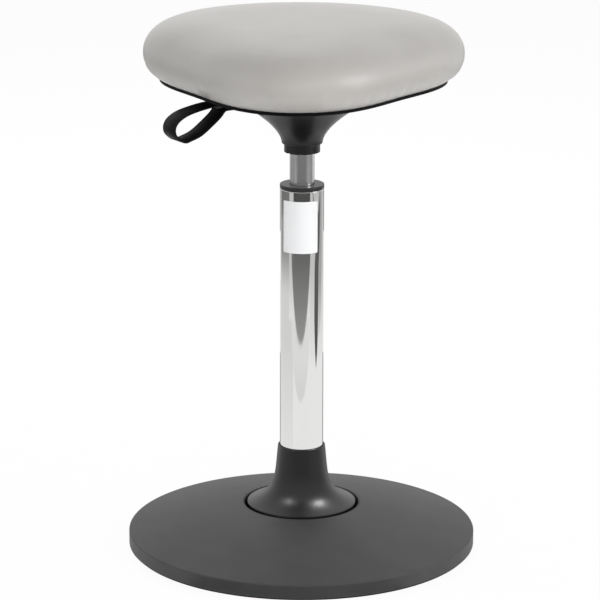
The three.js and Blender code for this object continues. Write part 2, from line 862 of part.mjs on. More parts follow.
// Lever: a cranked flat bar on a sleeve, turning on a pin through the housing
function addLever() {
  const half = leverThickness / 2
  const tail = -leverPivot - leverTail
  const profile = new THREE.Shape([
    [tail, -half],
    [leverBendStart, -half],
    [leverBendEnd, leverCrank - half],
    [leverReach, leverCrank - half],
    [leverReach, leverCrank + half],
    [leverBendEnd, leverCrank + half],
    [leverBendStart, half],
    [tail, half],
  ].map(([x, y]) => new THREE.Vector2(x, y)))
  const flat = new THREE.ExtrudeGeometry(profile, { depth: leverWidth, bevelEnabled: false })
  flat.rotateX(Math.PI / 2).translate(0, leverWidth / 2, leverCentre)
  const halfSleeve = leverSleeveLength / 2
  const sleeve = rod(leverPinRadius + gap + leverSleeve, -halfSleeve, halfSleeve)
  const pinHole = rod(leverPinRadius + gap, -leverSleeveLength, leverSleeveLength)
  for (const piece of [sleeve, pinHole]) {
    piece.rotateX(Math.PI / 2).translate(-leverPivot, 0, leverCentre)
  }
  const tabCentre = leverCentre + leverCrank
  const rivetHole = rod(rivetRadius + gap, tabCentre - leverThickness, tabCentre + leverThickness)
  rivetHole.translate(rivetReach, 0, 0)
  addPiece('release_lever', cut(joined(flat, sleeve), pinHole, rivetHole), blackSteel, leverFrame)

  const reach = Math.sqrt((housingRadius - gap) ** 2 - leverPivot ** 2)
  const pin = rod(leverPinRadius, -reach, reach)
  pin.rotateX(Math.PI / 2).translate(-leverPivot, 0, leverCentre)
  addPiece('lever_pin', pin, brightSteel, leverFrame)
}

// Strap: one leather band, both ends riveted over the lever's tab, hanging in a loop past the seat's edge
function addStrap() {
  const tabCentre = leverCentre + leverCrank
  const leaf = leverThickness / 2 + gap + strapThickness / 2
  const loop = strapLoopShares.map(([along, down]) => {
    const reach = strapStart + (strapReach - strapStart) * along
    return new THREE.Vector2(reach, leaf - strapDrop * down)
  })
  const lowerLeaf = [rivetReach + rivetHeadRadius, strapStart].map((reach) => new THREE.Vector2(reach, -leaf))
  const line = new THREE.SplineCurve([...loop, ...lowerLeaf])
  const outerSide = []
  const innerSide = []
  for (let i = 0; i <= strapSteps; i++) {
    const point = line.getPoint(i / strapSteps)
    const tangent = line.getTangent(i / strapSteps)
    const across = new THREE.Vector2(-tangent.y, tangent.x).multiplyScalar(strapThickness / 2)
    outerSide.push(point.clone().add(across))
    innerSide.push(point.clone().sub(across))
  }
  const band = new THREE.Shape([...outerSide, ...innerSide.reverse()])
  const geometry = new THREE.ExtrudeGeometry(band, { depth: strapWidth, bevelEnabled: false })
  geometry.rotateX(Math.PI / 2).translate(0, strapWidth / 2, tabCentre)
  const hole = rod(rivetRadius + gap, tabCentre - 2 * leaf, tabCentre + 2 * leaf).translate(rivetReach, 0, 0)
  addPiece('pull_strap', cut(geometry, hole), blackLeather, leverFrame)

  const seat = leaf + strapThickness / 2 + gap
  const rivet = joined(
    rod(rivetRadius, tabCentre - seat, tabCentre + seat),
    rod(rivetHeadRadius, tabCentre + seat, tabCentre + seat + rivetHead),
    rod(rivetHeadRadius, tabCentre - seat - rivetHead, tabCentre - seat),
  )
  addPiece('strap_rivet', rivet.translate(rivetReach, 0, 0), brightSteel, leverFrame)
}

addFoot()
addMount()
addColumn()
addCone()
addBearing()
addRod()
addSpring()
addHousing()
addCushion()
addBoard()
addLever()
addStrap()

export default stool
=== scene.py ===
import math

import bmesh
import bpy
from mathutils import Euler, Matrix, Vector


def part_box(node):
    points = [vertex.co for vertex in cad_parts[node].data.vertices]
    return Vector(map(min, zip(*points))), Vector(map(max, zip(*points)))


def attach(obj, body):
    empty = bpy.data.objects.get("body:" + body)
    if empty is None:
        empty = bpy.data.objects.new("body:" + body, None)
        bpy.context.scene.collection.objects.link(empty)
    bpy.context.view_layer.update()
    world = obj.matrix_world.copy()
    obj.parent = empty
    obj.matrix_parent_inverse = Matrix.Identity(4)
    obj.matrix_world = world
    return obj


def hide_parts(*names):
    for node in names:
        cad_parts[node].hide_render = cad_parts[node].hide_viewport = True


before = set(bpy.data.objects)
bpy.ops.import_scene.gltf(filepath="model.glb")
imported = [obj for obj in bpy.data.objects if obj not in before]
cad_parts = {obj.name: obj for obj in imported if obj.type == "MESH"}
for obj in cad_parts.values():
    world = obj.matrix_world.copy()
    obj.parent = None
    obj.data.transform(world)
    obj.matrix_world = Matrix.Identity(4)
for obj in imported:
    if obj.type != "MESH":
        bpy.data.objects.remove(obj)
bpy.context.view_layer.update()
MM = 0.001

# Camera: it stands a little to the right of the stool's front and looks down at it with a long lens.
# The stool's axis falls just right of the picture's middle.
picture_width = 600
film_width = 36
lens = 195.1
camera_distance = 3.583
camera_height = 1.2655
camera_turn = math.radians(3.15)
camera_pitch = math.radians(15.22)
camera_roll = math.radians(0.12)
axis_pixel = 301.8
focal_pixels = lens * picture_width / film_width
camera_yaw = (axis_pixel - picture_width / 2) / focal_pixels / math.cos(camera_pitch)
camera = bpy.data.objects.new("camera", bpy.data.cameras.new("camera"))
camera.data.lens = lens
camera.data.sensor_width = film_width
camera.location = (
    camera_distance * math.sin(camera_turn),
    -camera_distance * math.cos(camera_turn),
    camera_height,
)
level = Euler((math.pi / 2 - camera_pitch, 0, camera_turn + camera_yaw))
camera.rotation_euler = (level.to_matrix() @ Matrix.Rotation(camera_roll, 3, "Z")).to_euler()
bpy.context.scene.collection.objects.link(camera)
bpy.context.scene.camera = camera
bpy.context.scene.view_settings.view_transform = "Standard"


# Studio floor: a white sheet, larger than any view of it, that keeps a trace of the stool's shadow.
# Camera and mirror rays see plain white paper. Less light comes up from it than from a white floor.
def srgb(code):
    """A hex colour, as written on screen, as the linear colour that shaders take."""
    parts = [int(code[i:i + 2], 16) / 255 for i in (1, 3, 5)]
    linear = [p / 12.92 if p <= 0.04045 else ((p + 0.055) / 1.055) ** 2.4 for p in parts]
    return (*linear, 1)


def add_node(tree, kind, sockets=None, to=None, **settings):
    """Adds a node with its settings, its sockets' values or links, and its link on to a socket."""
    node = tree.nodes.new(kind)
    for name, value in settings.items():
        setattr(node, name, value)
    for name, value in (sockets or {}).items():
        if isinstance(value, bpy.types.Node):
            tree.links.new(value.outputs[0], node.inputs[name])
        elif isinstance(value, bpy.types.NodeSocket):
            tree.links.new(value, node.inputs[name])
        else:
            node.inputs[name].default_value = value
    if to:
        tree.links.new(node.outputs[0], to)
    return node


def seen_directly(tree):
    """1 for rays from the camera, a mirror or glass, 0 for the rays that carry light."""
    path = add_node(tree, "ShaderNodeLightPath")
    either = add_node(tree, "ShaderNodeMath", {
        0: path.outputs["Is Camera Ray"],
        1: path.outputs["Is Glossy Ray"],
    }, operation="MAXIMUM")
    return add_node(tree, "ShaderNodeMath", {
        0: either,
        1: path.outputs["Is Transmission Ray"],
    }, operation="MAXIMUM")


def background_paper():
    """Matt white background paper."""
    material = bpy.data.materials.new("background_paper")
    material.use_nodes = True
    tree = material.node_tree
    tree.nodes.clear()
    shadow_kept = 0.06
    paper = add_node(tree, "ShaderNodeBsdfDiffuse", {"Color": srgb("#fdfdfd")})
    plain = add_node(tree, "ShaderNodeEmission", {"Color": srgb("#ffffff")})
    seen = add_node(tree, "ShaderNodeMixShader", {0: 1 - shadow_kept, 1: paper, 2: plain})
    bounce = add_node(tree, "ShaderNodeBsdfDiffuse", {"Color": srgb("#e2e2e2")})
    mixed = add_node(tree, "ShaderNodeMixShader", {0: seen_directly(tree), 1: bounce, 2: seen})
    add_node(tree, "ShaderNodeOutputMaterial", {"Surface": mixed})
    return material


def laid_flat(name, outline, height, material):
    """One level face through the outline's (x, y) points."""
    mesh = bpy.data.meshes.new(name)
    mesh.from_pydata([(x, y, height) for x, y in outline], [], [range(len(outline))])
    mesh.materials.append(material)
    piece = bpy.data.objects.new(name, mesh)
    bpy.context.scene.collection.objects.link(piece)
    return piece


def on_floor(azimuth, reach):
    """A point of the floor, by the angle from the camera's side of the stool and the distance."""
    angle = math.radians(azimuth) + camera_turn
    return (reach * math.sin(angle), -reach * math.cos(angle))


floor_radius = 9
floor_drop = -0.2 * MM
floor_outline = [on_floor(azimuth, floor_radius) for azimuth in range(0, 360, 5)]
laid_flat("floor", floor_outline, floor_drop, background_paper())


# Studio cards: grey boards laid flat round the stool, which glow with fixed tones and which only shiny
# surfaces see, so what the chrome shows of them is painted reflection. The column is a mirror that
# sees little but the floor, and the cards give it the dark and light shapes that make chrome read as
# chrome. Distances are metres from the column's axis, and angles are degrees.
def card(name, outline, height, near, far):
    """A glowing card that only mirrors see, a painted reflection, its tone fading outwards: near and far
    are (distance, colour).
    """
    material = bpy.data.materials.new(name)
    material.use_nodes = True
    tree = material.node_tree
    tree.nodes.clear()
    place = add_node(tree, "ShaderNodeTexCoord")
    reach = add_node(tree, "ShaderNodeVectorMath", {0: place.outputs["Object"]}, operation="LENGTH")
    share = add_node(tree, "ShaderNodeMapRange", {
        "Value": reach.outputs["Value"],
        "From Min": near[0],
        "From Max": far[0],
    })
    tone = add_node(tree, "ShaderNodeMixRGB", {
        "Fac": share,
        "Color1": srgb(near[1]),
        "Color2": srgb(far[1]),
    })
    shown = add_node(tree, "ShaderNodeEmission", {"Color": tone})
    add_node(tree, "ShaderNodeOutputMaterial", {"Surface": shown})
    piece = laid_flat(name, outline, height, material)
    piece.visible_camera = False
    piece.visible_diffuse = False
    piece.visible_shadow = False
    piece.visible_transmission = False


def ring_sector(first, last, near, far):
    """The outline of a piece of a ring, between two angles and two distances."""
    step_degrees = 4
    steps = max(2, round(abs(last - first) / step_degrees))
    angles = [first + (last - first) * i / steps for i in range(steps + 1)]
    return [on_floor(a, near) for a in angles] + [on_floor(a, far) for a in reversed(angles)]


def front_segment(near, far, widest):
    """The outline of the floor between a straight edge in front and a ring, no wider than an angle."""
    ends = min(widest, math.degrees(math.acos(near / far)))
    steps = 24
    ring = [on_floor(front_turn + ends - 2 * ends * i / steps, far) for i in range(steps + 1)]
    corner = near / math.cos(math.radians(ends))
    return [*ring, on_floor(front_turn - ends, corner), on_floor(front_turn + ends, corner)]


card_height = 0.5 * MM
card_step = 0.2 * MM
front_turn = -5.5
far_start = 1.86
card_end = 6
card("card_side", ring_sector(-150, -45, 0.25, 1.2), card_height, (0.4, "#f8f8f8"), (0.9, "#e6e6e6"))
card("card_side_right", ring_sector(44, 150, 0.8, far_start), card_height,
     (0.85, "#f8f8f8"), (1.3, "#d4d4d4"))
card("card_side_front", ring_sector(-70, 44, 1.0, far_start), card_height + 2 * card_step,
     (1.02, "#f8f8f8"), (1.3, "#d4d4d4"))
card("card_left", ring_sector(-140, -68, 1.13, far_start), card_height + card_step,
     (1.15, "#e4e4e4"), (1.38, "#a2a2a2"))
card("card_left_far", ring_sector(-140, -68, 1.6, far_start), card_height + 2 * card_step,
     (1.6, "#949494"), (1.75, "#7a7a7a"))
card("card_ledge", front_segment(0.6, 1.02, 48), card_height + 2 * card_step,
     (0.6, "#e8e8e8"), (0.8, "#f2f2f2"))
card("card_front", front_segment(0.875, 1.4, 50), card_height + 3 * card_step,
     (0.9, "#a0a0a0"), (1.35, "#727272"))
card("card_front_far", ring_sector(-45, 43, 1.38, far_start), card_height + 4 * card_step,
     (1.38, "#727272"), (1.7, "#545454"))
wedge = [on_floor(*place) for place in (
    (80, 0.74), (91, 0.86), (95, 1.05), (97, 1.3), (104, 1.42), (108, 1.62), (112, far_start),
    (55, far_start), (60, 1.74), (84, 1.66), (80, 1.55), (76, 1.42), (70, 1.3), (69, 1.0), (73, 0.86),
)]
card("card_right", wedge, card_height + 4 * card_step, (0.74, "#5c5c5c"), (1.8, "#6a6a6a"))
wedge_edge = [on_floor(*place) for place in (
    (92, 0.9), (118, 1.0), (124, 1.3), (128, far_start), (96, far_start), (92, 1.3), (90, 1.05),
)]
card("card_right_edge", wedge_edge, card_height + 3 * card_step, (0.95, "#e0e0e0"), (1.2, "#b4b4b4"))
card("card_near", ring_sector(-40, 36, 0.203, 0.37), card_height, (0.2, "#383838"), (0.37, "#707070"))
card("card_behind", ring_sector(140, 220, 0.25, 0.8), card_height, (0.3, "#a8a8a8"), (0.8, "#c0c0c0"))
card("card_far", ring_sector(-60, 60, far_start, card_end), card_height, (1.9, "#8c8c8c"), (3, "#808080"))
card("card_far_left", ring_sector(-140, -60, far_start, card_end), card_height,
     (1.9, "#b8b8b8"), (3, "#a0a0a0"))
card("card_far_right", ring_sector(60, 112, far_start, card_end), card_height,
     (1.9, "#a8a8a8"), (3, "#989898"))
card("card_back", ring_sector(150, 210, 1.5, card_end), card_height, (1.5, "#8a8a8c"), (2, "#8a8a8c"))

# Lamps and room: two small lamps overhead that show as spots on the foot's cone, with flags that
# keep them off the rest, a big one above and behind the stool, one low on the right, one in front,
# and an even white room.
room_light = 0.52
world = bpy.data.worlds.new("studio")
bpy.context.scene.world = world
world.use_nodes = True
room_tree = world.node_tree
room_tree.nodes.clear()
lit = add_node(room_tree, "ShaderNodeBackground", {"Color": srgb("#ffffff"), "Strength": room_light})
white = add_node(room_tree, "ShaderNodeBackground", {"Color": srgb("#ffffff"), "Strength": 1})
shown = add_node(room_tree, "ShaderNodeMixShader", {0: seen_directly(room_tree), 1: lit, 2: white})
add_node(room_tree, "ShaderNodeOutputWorld", {"Surface": shown})


def softbox(name, place, size, watts, mirrored=True):
    """A square soft lamp aimed just under the seat, seen in shiny surfaces or not."""
    lamp = bpy.data.lights.new(name, "AREA")
    lamp.size = size
    lamp.energy = watts
    piece = bpy.data.objects.new(name, lamp)
    piece.location = place
    aim = Vector((0, 0, lamp_aim_height)) - Vector(place)
    piece.rotation_euler = aim.to_track_quat("-Z", "Y").to_euler()
    piece.visible_glossy = mirrored
    bpy.context.scene.collection.objects.link(piece)
    return piece


lamp_aim_height = 0.5
spot_right = softbox("overhead_right", (1.23, 0.35, 2.6), size=0.55, watts=52)
spot_left = softbox("overhead_left", (-1.02, -0.36, 2.6), size=0.65, watts=18)
low_right = softbox("low_right", (2.1, -0.65, 0.95), size=0.9, watts=15)
softbox("front", (0.1, -2.6, 0.6), size=0.9, watts=21, mirrored=False)
softbox("back", (-0.4, 1.9, 2.2), size=1.4, watts=33, mirrored=False)


# Floor pad: a disc of sponge rubber glued under the foot, seen only as a dark line at the floor.
# It is die-cut, so its rim is square, and it is dull all over.
def surface(name, colour, roughness, size, metallic=0.0, detail=2, stretch=None,
            tones=None, tone_size=None, shine=None, relief=None):
    """A material with a fine irregular pattern over it: (material, shader).

    size is the pattern's grain in metres, and stretch is how much finer it is along each axis.
    Where they are given, the colour runs between two tones, the roughness between two values,
    and the surface rises by the relief. tone_size is the grain of the tones where it is another.
    """
    material = bpy.data.materials.new(name)
    material.use_nodes = True
    tree = material.node_tree
    shader = tree.nodes["Principled BSDF"]
    shader.inputs["Base Color"].default_value = srgb(colour)
    shader.inputs["Roughness"].default_value = roughness
    shader.inputs["Metallic"].default_value = metallic
    place = add_node(tree, "ShaderNodeTexCoord").outputs["Object"]
    if stretch:
        place = add_node(tree, "ShaderNodeMapping", {"Vector": place, "Scale": stretch})
    pattern = add_node(tree, "ShaderNodeTexNoise", {
        "Vector": place,
        "Scale": 1 / size,
        "Detail": detail,
    })
    clouds = pattern
    if tone_size:
        clouds = add_node(tree, "ShaderNodeTexNoise", {
            "Vector": place,
            "Scale": 1 / tone_size,
            "Detail": detail,
        })
    if tones:
        add_node(tree, "ShaderNodeMixRGB", {
            "Fac": clouds,
            "Color1": srgb(tones[0]),
            "Color2": srgb(tones[1]),
        }, to=shader.inputs["Base Color"])
    if shine:
        pattern_low = 0.3
        pattern_high = 0.7
        add_node(tree, "ShaderNodeMapRange", {
            "Value": pattern,
            "From Min": pattern_low,
            "From Max": pattern_high,
            "To Min": shine[0],
            "To Max": shine[1],
        }, to=shader.inputs["Roughness"])
    if relief:
        add_node(tree, "ShaderNodeBump", {
            "Height": pattern,
            "Distance": relief,
        }, to=shader.inputs["Normal"])
    return material, shader


def sponge_rubber():
    """Black sponge rubber: open pores of half a millimetre, no shine."""
    material, shader = surface(
        "sponge_rubber", "#1c1c1d", 0.9, 0.5 * MM, tones=("#0a0a0b", "#2f2f30"), relief=0.15 * MM,
    )
    shader.inputs["Specular IOR Level"].default_value = 0.1
    return material


def rounded(corners):
    """A closed outline from (radius, height, fillet) corners, each turned into an arc of its fillet.

    A point just beyond each end of an arc keeps the shading of the straight runs straight.
    """
    beyond = 0.3 * MM
    outline = []
    for i, (radius, height, *fillet) in enumerate(corners):
        here = Vector((radius, height))
        if not fillet:
            outline.append((radius, height))
            continue
        before = (Vector(corners[i - 1][:2]) - here).normalized()
        after = (Vector(corners[(i + 1) % len(corners)][:2]) - here).normalized()
        half = before.angle(after) / 2
        tangent = fillet[0] / math.tan(half)
        centre = here + (before + after).normalized() * fillet[0] / math.sin(half)
        start = here + before * tangent - centre
        sweep = start.angle_signed(here + after * tangent - centre)
        outline.append(tuple(here + before * (tangent + beyond)))
        steps = 5
        for step in range(steps + 1):
            turn = -sweep * step / steps
            outline.append((
                centre.x + start.x * math.cos(turn) - start.y * math.sin(turn),
                centre.y + start.x * math.sin(turn) + start.y * math.cos(turn),
            ))
        outline.append(tuple(here + after * (tangent + beyond)))
    return outline


sharp_turn = 40


def smooth(piece, sharp_above=sharp_turn):
    """Smooth shading, with edges kept where the surface turns by more than some degrees."""
    for face in piece.data.polygons:
        face.use_smooth = True
    piece.data.set_sharp_from_angle(angle=math.radians(sharp_above))


def new_piece(name, points, faces, material):
    """An object from a list of points in metres and a list of faces, with its normals facing out."""
    mesh = bpy.data.meshes.new(name)
    mesh.from_pydata(points, [], faces)
    shape = bmesh.new()
    shape.from_mesh(mesh)
    bmesh.ops.recalc_face_normals(shape, faces=shape.faces)
    shape.to_mesh(mesh)
    shape.free()
    mesh.materials.append(material)
    piece = bpy.data.objects.new(name, mesh)
    bpy.context.scene.collection.objects.link(piece)
    smooth(piece)
    return piece


def turned(name, outline, material, steps=128, spread=None):
    """A closed outline of (radius, height) points turned about the column's axis.

    spread gives, by the angle from the front, how much wider than the outline the piece is there.
    """
    points = []
    rows = []
    for radius, height in outline:
        count = steps if radius > 0 else 1
        rows.append(range(len(points), len(points) + count))
        for step in range(count):
            angle = 2 * math.pi * step / steps
            wide = radius * spread(angle) if spread else radius
            points.append((wide * math.sin(angle), -wide * math.cos(angle), height))
    faces = []
    for first, second in zip(rows, rows[1:] + rows[:1]):
        if len(first) + len(second) == 2:
            continue
        for step in range(steps):
            corners = [
                first[step % len(first)],
                first[(step + 1) % steps % len(first)],
                second[(step + 1) % steps % len(second)],
                second[step % len(second)],
            ]
            faces.append(list(dict.fromkeys(corners)))
    return new_piece(name, points, faces, material)


pad_low, pad_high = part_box("floor_pad")
pad_edge = 0.3 * MM
pad_edge_top = 2 * MM
pad_step_radius = 186.5 * MM
pad = turned("rubber_pad", rounded([
    (0, pad_low.z),
    (pad_high.x, pad_low.z, pad_edge),
    (pad_high.x, pad_edge_top, pad_edge),
    (pad_step_radius, pad_edge_top),
    (pad_step_radius, pad_high.z, pad_edge),
    (0, pad_high.z),
]), sponge_rubber(), steps=192)
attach(pad, "base")
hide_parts("floor_pad")


# Weight plate: a flame-cut steel disc that keeps the stool down, powder coated black, under the
# cover. Four zinc-plated screws go up through it into the cover's bosses.
def powder_coat():
    """Black powder coat: a fine orange peel, half shiny."""
    return surface(
        "powder_coat", "#2a2b2c", 0.5, 1.2 * MM, shine=(0.42, 0.58), relief=0.04 * MM,
    )[0]


def zinc_plate():
    """Zinc-plated steel: cool grey with a faint cloudy bloom."""
    return surface(
        "zinc_plate", "#a4a6a9", 0.4, 3 * MM, metallic=1.0, detail=4,
        tones=("#7a7d84", "#d0d0ce"), shine=(0.32, 0.5),
    )[0]


def dress(node, material, edge=0.0):
    """Gives a piece that keeps its built shape its finish and, if it shows, its broken edges."""
    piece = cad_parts[node]
    piece.data.materials.clear()
    piece.data.materials.append(material)
    smooth(piece)
    if edge:
        weld = piece.modifiers.new("weld", "WELD")
        weld.merge_threshold = 0.001 * MM
        bevel = piece.modifiers.new("broken_edges", "BEVEL")
        bevel.width = edge
        bevel.segments = 2
        bevel.angle_limit = math.radians(sharp_turn)


black_coat = powder_coat()
zinc = zinc_plate()
dress("weight_plate", black_coat)
for number in range(1, 5):
    dress(f"plate_screw_{number}", zinc)


# Foot cover: a low dome of injection-moulded plastic with a straight rim and a hole for the hub.
# It is charcoal grey, spark-eroded all over, so it is matt but turns lighter at a flat angle.
def textured_plastic():
    """Charcoal ABS with a spark-eroded grain, drawn a little coarser than real so that it shows."""
    material, shader = surface(
        "textured_plastic", "#3a3a3a", 0.55, 0.9 * MM, detail=3, tones=("#333333", "#414141"),
        tone_size=40 * MM, shine=(0.5, 0.66), relief=0.09 * MM,
    )
    shader.inputs["IOR"].default_value = 1.5
    return material


def curve_between(start, middle, end, steps):
    """Points on the quadratic curve from start to end that is drawn towards middle."""
    points = []
    for i in range(steps + 1):
        t = i / steps
        points.append(tuple(
            (1 - t) ** 2 * a + 2 * t * (1 - t) * b + t ** 2 * c
            for a, b, c in zip(start, middle, end)
        ))
    return points


cover_low, cover_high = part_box("base_cover")
foot_radius = cover_high.x
lip_height = cover_high.z
rim_height = 18 * MM
rim_fillet = 1.6 * MM
hub_hole = 66.2 * MM
lip_fillet = 1.2 * MM
hub_collar_depth = 13 * MM
hub_collar_wall = 2.5 * MM
cover_wall = 3.5 * MM
dome_rise = 3 * MM
rim_corner_slope = 0.3
cover_foot_edge = 0.4 * MM
hub_collar_edge = 0.5 * MM


def dome_line(depth, steps=14):
    """The dome from the rim to the hub hole, moved in by a depth."""
    rim = (foot_radius - rim_fillet - depth, rim_height - depth)
    lip = (hub_hole + (hub_collar_wall if depth else lip_fillet), lip_height - depth)
    middle = ((rim[0] + lip[0]) / 2, (rim[1] + lip[1]) / 2 + 2 * dome_rise)
    return curve_between(rim, middle, lip, steps)


foot_cover = turned("foot_cover", [
    *rounded([
        (foot_radius - cover_wall, cover_low.z),
        (foot_radius, cover_low.z, cover_foot_edge),
        (foot_radius, rim_height, rim_fillet),
        (foot_radius - rim_height, rim_height * (1 + rim_corner_slope)),
    ])[:-1],
    *dome_line(0)[1:],
    *rounded([
        (hub_hole + hub_collar_wall, lip_height),
        (hub_hole, lip_height, lip_fillet),
        (hub_hole, lip_height - hub_collar_depth, hub_collar_edge),
        (hub_hole + hub_collar_wall, lip_height - hub_collar_depth),
    ])[1:],
    *reversed(dome_line(cover_wall)),
], textured_plastic(), steps=256)
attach(foot_cover, "base")
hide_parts("base_cover")


# Hub: a pressed steel cup bolted to the weight, the rubber mount bonded in it, and the steel socket
# that the mount carries. The column stands in the socket and so tilts with it.
def solid_rubber():
    """Black moulded rubber: dull, with a trace of talc."""
    return surface(
        "solid_rubber", "#1b1b1c", 0.8, 2 * MM, detail=4, tones=("#0c0c0d", "#313132"),
        relief=0.02 * MM,
    )[0]


rubber = solid_rubber()
dress("hub_cup", black_coat)
for number in range(1, 5):
    dress(f"hub_bolt_{number}", zinc)
dress("rubber_mount", rubber)
dress("column_socket", black_coat)


# Column tube: a drawn steel tube, polished and chromed, pressed into the socket. Its mirror finish
# shows the studio's floor and the dark cards in tall narrow shapes.
def polished_chrome():
    """Bright chrome plate: a clean mirror with a trace of polishing haze."""
    return surface(
        "polished_chrome", "#e4e4e2", 0.035, 14 * MM, metallic=1.0, detail=3, shine=(0.025, 0.06),
    )[0]


tube_low, tube_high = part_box("column_tube")
tube_radius = tube_high.x
tube_wall = 2 * MM
tube_edge = 0.5 * MM
tube = turned("chromed_tube", rounded([
    (tube_radius - tube_wall, tube_low.z),
    (tube_radius, tube_low.z, tube_edge),
    (tube_radius, tube_high.z, tube_edge),
    (tube_radius - tube_wall, tube_high.z, tube_edge),
]), polished_chrome(), steps=192)
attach(tube, "column")
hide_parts("column_tube")


# Label: a sheet of coated paper with rounded corners stuck round the front of the tube. It is left
# blank, with the soft shine of its varnish.
def coated_paper():
    """White coated paper: a faint fibre, a soft varnish."""
    return surface(
        "coated_paper", "#f3f5f8", 0.35, 1.5 * MM, detail=4, tones=("#fdfdff", "#fafbfb"),
        relief=0.01 * MM,
    )[0]


label_low, label_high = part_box("column_label")
label_gap = 0.1 * MM
label_thickness = 0.4 * MM
label_radius = tube_radius + label_gap + label_thickness
label_right = math.asin(label_high.x / label_radius)
label_left = math.asin(label_low.x / label_radius)
label_turn = (label_left + label_right) / 2
label_half_turn = (label_right - label_left) / 2
label_corner = 1.5 * MM


def label_half_width(height):
    """The label's half width at a height, narrower in its rounded corners."""
    into = label_corner - min(height - label_low.z, label_high.z - height)
    if into <= 0:
        return label_half_turn * label_radius
    return label_half_turn * label_radius - label_corner + math.sqrt(label_corner ** 2 - into ** 2)


def label_rows():
    """Heights of the label's rows, close together in its corners."""
    tall = label_high.z - label_low.z
    corner = [label_corner * (1 - math.cos(math.pi / 2 * i / 5)) for i in range(6)]
    middle = [label_corner + (tall - 2 * label_corner) * i / 8 for i in range(1, 8)]
    top = [tall - c for c in reversed(corner)]
    return [label_low.z + h for h in [*corner, *middle, *top]]


def paper_label():
    """The label's outer and inner faces and its edge, as one closed sheet."""
    columns = 32
    heights = label_rows()
    points = []
    for radius in (label_radius, tube_radius + label_gap):
        for height in heights:
            half = label_half_width(height) / label_radius
            for i in range(columns + 1):
                angle = label_turn - half + 2 * half * i / columns
                points.append((radius * math.sin(angle), -radius * math.cos(angle), height))
    wide = columns + 1
    sheet = wide * len(heights)
    faces = []
    for side in (0, sheet):
        for row in range(len(heights) - 1):
            for i in range(columns):
                start = side + row * wide + i
                faces.append([start, start + 1, start + wide + 1, start + wide])
    rim = list(range(wide))
    rim += [row * wide + columns for row in range(1, len(heights))]
    rim += [sheet - 1 - i for i in range(1, wide)]
    rim += [row * wide for row in range(len(heights) - 2, 0, -1)]
    for here, there in zip(rim, rim[1:] + rim[:1]):
        faces.append([here, there, there + sheet, here + sheet])
    return new_piece("paper_label", points, faces, coated_paper())


label = paper_label()
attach(label, "column")
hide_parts("column_label")


# Inside the tube: a guide bush turned from acetal that the gas spring slides in, under the cap, and
# at the tube's foot the zinc-plated steel plate that the bearing and the rod stand on.
def acetal():
    """Natural acetal: waxy off-white, faintly cloudy, as turned from bar."""
    material, shader = surface(
        "acetal", "#dedbd2", 0.45, 6 * MM, detail=3, tones=("#cecac0", "#f0eee5"),
    )
    shader.inputs["Subsurface Weight"].default_value = 0.1
    shader.inputs["Subsurface Radius"].default_value = (0.6 * MM, 0.6 * MM, 0.5 * MM)
    return material


bearing_plastic = acetal()
dress("guide_bush", bearing_plastic)
dress("tube_base", zinc)


# Cap ring: a moulded plastic ring snapped into the tube's mouth, flush with the tube. Its flat top
# is dark grey and catches the light, and the gas spring slides through it.
def satin_nylon():
    """Dark grey glass-filled nylon: satin, with a trace of the mould's turning marks."""
    material, shader = surface(
        "satin_nylon", "#232425", 0.36, 0.6 * MM, shine=(0.3, 0.42), relief=0.02 * MM,
    )
    shader.inputs["IOR"].default_value = 1.45
    return material


cap_low, cap_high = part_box("cap_ring")
cap_radius = cap_high.x
cap_bore = 14.3 * MM
cap_foot = 422.8 * MM
cap_skirt = 22.7 * MM
cap_skirt_wall = 3.5 * MM
cap_edge = 0.5 * MM
cap = turned("cap", rounded([
    (cap_skirt - cap_skirt_wall, cap_low.z),
    (cap_skirt, cap_low.z),
    (cap_skirt, cap_foot),
    (cap_radius, cap_foot, cap_edge / 2),
    (cap_radius, cap_high.z, cap_edge),
    (cap_bore, cap_high.z, cap_edge),
    (cap_bore, cap_foot),
    (cap_skirt - cap_skirt_wall, cap_foot),
]), satin_nylon())
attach(cap, "column")
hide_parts("cap_ring")


# Hub cone: a flared cone of satin black plastic that slides down the tube and closes the hole in
# the foot. Its surface is smooth enough to show soft spots of the lamps on the flare.
def satin_plastic():
    """Black polypropylene from a smooth mould: satin, a very fine grain."""
    material, shader = surface(
        "satin_plastic", "#0a0a0b", 0.34, 0.7 * MM, shine=(0.3, 0.38), relief=0.012 * MM,
    )
    shader.inputs["IOR"].default_value = 1.45
    return material


cone_low, cone_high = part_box("hub_cone")
cone_radius = cone_high.x
cone_lip = 27.2 * MM
cone_taper = 6.1 * MM
cone_flare_power = 6
cone_edge = 3.5 * MM
cone_wall = 2 * MM
cone_foot = cone_low.z + cone_edge
cone_clearance = 0.3 * MM
cone_bore = tube_radius + cone_clearance
cone_lip_depth = 8 * MM
cone_lip_lean = 0.1 * MM
cone_lip_edge = 1 * MM
cone_foot_run = 6 * MM
cone_foot_rise = 0.4 * MM
cone_foot_edge = 0.4 * MM
cone_rim_edge = 0.6 * MM
cone_room = 0.5 * MM


def cone_line(depth, steps):
    """The cone's side from its lip down to its foot, moved in by a depth."""
    line = []
    for i in range(1, steps + 1):
        share = 1 - (1 - i / steps) ** 2
        flare = (cone_radius - cone_lip - cone_taper) * share ** cone_flare_power
        radius = cone_lip + cone_taper * share + flare - depth
        line.append((radius, cone_high.z - (cone_high.z - cone_foot) * share - depth))
    return line


